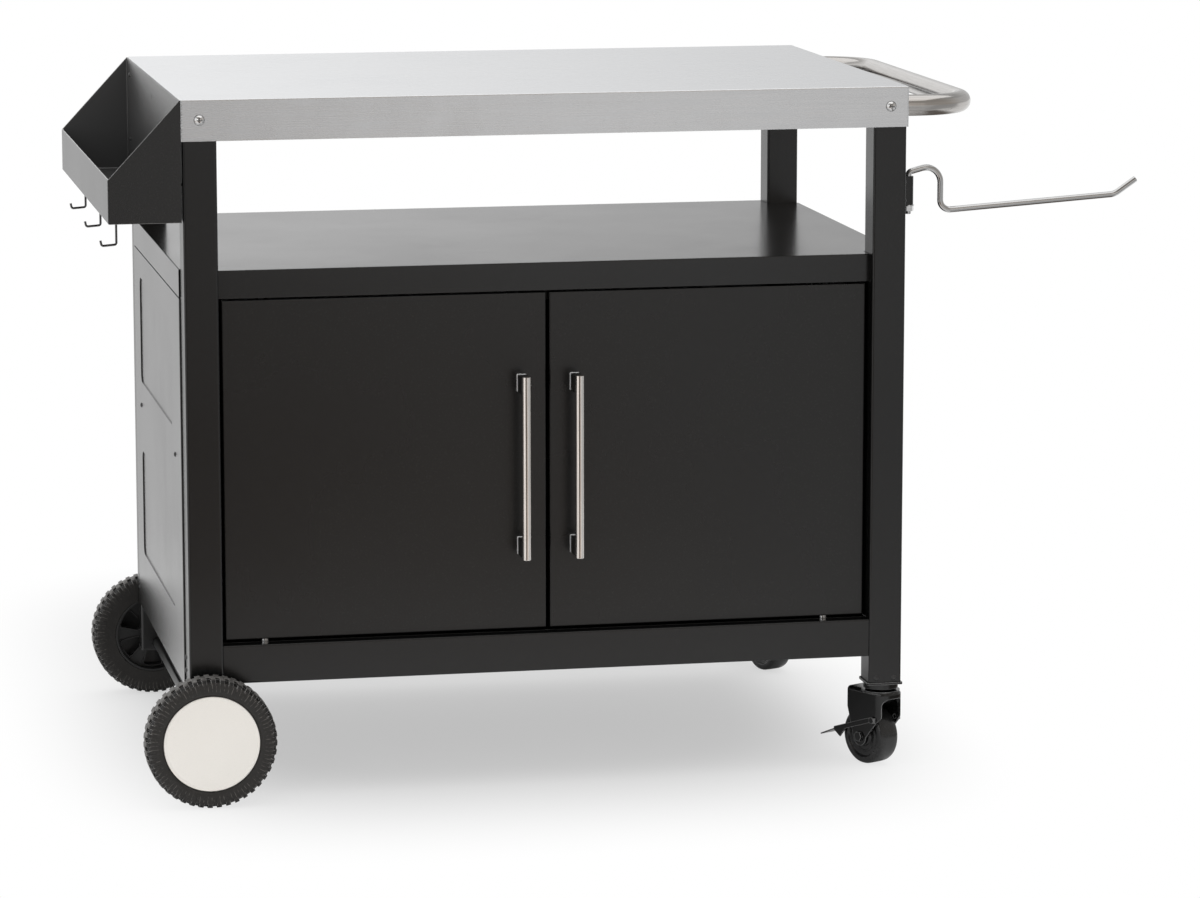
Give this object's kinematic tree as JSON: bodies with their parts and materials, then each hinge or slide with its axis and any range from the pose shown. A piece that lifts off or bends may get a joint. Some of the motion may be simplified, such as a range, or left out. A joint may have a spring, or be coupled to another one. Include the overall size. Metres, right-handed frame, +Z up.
{
  "type": "grill cart with storage",
  "caption": "Wheeled grill cart: steel worktop over an open shelf and a double-door cabinet, side tray with hooks, push handle, tank hook, wheels and braked casters.",
  "frame": {"origin": "on the floor, under the middle of the whole cart's outer box", "axes": "+X from the side tray towards the push handle, +Y from the doors to the back, +Z up"},
  "size_m": [1.3632, 0.7576, 0.908],
  "materials": {
    "brushed_steel": "brushed",
    "powder_black": "satin",
    "handle_steel": "brushed",
    "handle_foot": "satin",
    "hook_chrome": "polished",
    "bright_fastener": "bright",
    "dark_fastener": "satin",
    "black_plastic": "matte",
    "strike_steel": "plain",
    "tyre_rubber": "matte",
    "hub_plastic": "satin",
    "cap_silver": "satin silver",
    "caster_metal": "gloss",
    "caster_tread": "satin"
  },
  "bodies": {
    "frame": {"worktop": "brushed_steel", "worktop_stiffeners": "powder_black", "worktop_screws": "bright_fastener", "leg_front_left": "powder_black", "leg_front_right": "powder_black", "leg_back_left": "powder_black", "leg_back_right": "powder_black", "leg_caps": "black_plastic", "bottom_rail_front": "powder_black", "bottom_rail_back": "powder_black", "bottom_rail_left": "powder_black", "bottom_rail_right": "powder_black", "cabinet_floor": "powder_black", "side_panel_left": "powder_black", "side_panel_right": "powder_black", "back_panel": "powder_black", "shelf": "powder_black", "door_head_rail": "powder_black", "inner_shelf": "powder_black", "inner_shelf_brackets": "powder_black", "door_pivot_pins": "bright_fastener", "magnet_catch": "black_plastic", "side_tray": "powder_black", "tray_hooks": "hook_chrome", "tray_hook_screws": "bright_fastener", "push_handle": "handle_steel", "push_handle_bolts": "dark_fastener", "hook_bracket": "powder_black", "axle": "dark_fastener", "axle_spacers": "dark_fastener", "axle_nuts": "dark_fastener", "frame_screws": "dark_fastener", "caster_front_plate": "caster_metal", "caster_back_plate": "caster_metal"},
    "left_door": {"door_left": "powder_black", "door_left_handle": "handle_steel", "door_left_handle_feet": "handle_foot", "door_left_strike": "strike_steel"},
    "right_door": {"door_right": "powder_black", "door_right_handle": "handle_steel", "door_right_handle_feet": "handle_foot", "door_right_strike": "strike_steel"},
    "front_wheel": {"wheel_front_tyre": "tyre_rubber", "wheel_front_hub": "hub_plastic", "wheel_front_cap": "cap_silver"},
    "back_wheel": {"wheel_back_tyre": "tyre_rubber", "wheel_back_hub": "hub_plastic", "wheel_back_cap": "cap_silver"},
    "hook": {"tank_hook": "hook_chrome", "tank_hook_nut": "bright_fastener"},
    "front_caster_fork": {"caster_front_fork": "caster_metal", "caster_front_bolt": "caster_metal"},
    "front_caster_wheel": {"caster_front_wheel": "caster_tread"},
    "front_caster_brake": {"caster_front_brake": "caster_metal"},
    "back_caster_fork": {"caster_back_fork": "caster_metal", "caster_back_bolt": "caster_metal"},
    "back_caster_wheel": {"caster_back_wheel": "caster_tread"},
    "back_caster_brake": {"caster_back_brake": "caster_metal"}
  },
  "joints": [
    {"name": "left_door_hinge", "type": "hinge", "parent": "frame", "child": "left_door", "pos_m": [-0.48465, -0.30227, 0.427], "axis": [0, 0, -1], "range_deg": [0, 110]},
    {"name": "right_door_hinge", "type": "hinge", "parent": "frame", "child": "right_door", "pos_m": [0.25935, -0.30227, 0.427], "axis": [0, 0, 1], "range_deg": [0, 110]},
    {"name": "front_wheel_spin", "type": "hinge", "parent": "frame", "child": "front_wheel", "pos_m": [-0.56365, -0.35877, 0.085], "axis": [0, 1, 0], "continuous": true},
    {"name": "back_wheel_spin", "type": "hinge", "parent": "frame", "child": "back_wheel", "pos_m": [-0.56365, 0.33624, 0.085], "axis": [0, 1, 0], "continuous": true},
    {"name": "tank_hook_swivel", "type": "hinge", "parent": "frame", "child": "hook", "pos_m": [0.36885, -0.30727, 0.76915], "axis": [0, 0, 1], "range_deg": [-90, 90]},
    {"name": "front_caster_swivel", "type": "hinge", "parent": "frame", "child": "front_caster_fork", "pos_m": [0.33835, -0.30727, 0.105], "axis": [0, 0, 1], "continuous": true},
    {"name": "front_caster_roll", "type": "hinge", "parent": "front_caster_fork", "child": "front_caster_wheel", "pos_m": [0.3299, -0.29137, 0.038], "axis": [-0.8829, -0.4695, 0], "continuous": true},
    {"name": "front_caster_brake_press", "type": "hinge", "parent": "front_caster_fork", "child": "front_caster_brake", "pos_m": [0.34211, -0.31433, 0.064], "axis": [-0.8829, -0.4695, 0], "range_deg": [0, 10]},
    {"name": "back_caster_swivel", "type": "hinge", "parent": "frame", "child": "back_caster_fork", "pos_m": [0.33835, 0.28474, 0.105], "axis": [0, 0, 1], "continuous": true},
    {"name": "back_caster_roll", "type": "hinge", "parent": "back_caster_fork", "child": "back_caster_wheel", "pos_m": [0.33161, 0.30142, 0.038], "axis": [-0.9272, -0.3746, 0], "continuous": true},
    {"name": "back_caster_brake_press", "type": "hinge", "parent": "back_caster_fork", "child": "back_caster_brake", "pos_m": [0.34135, 0.27732, 0.064], "axis": [-0.9272, -0.3746, 0], "range_deg": [0, 10]}
  ]
}
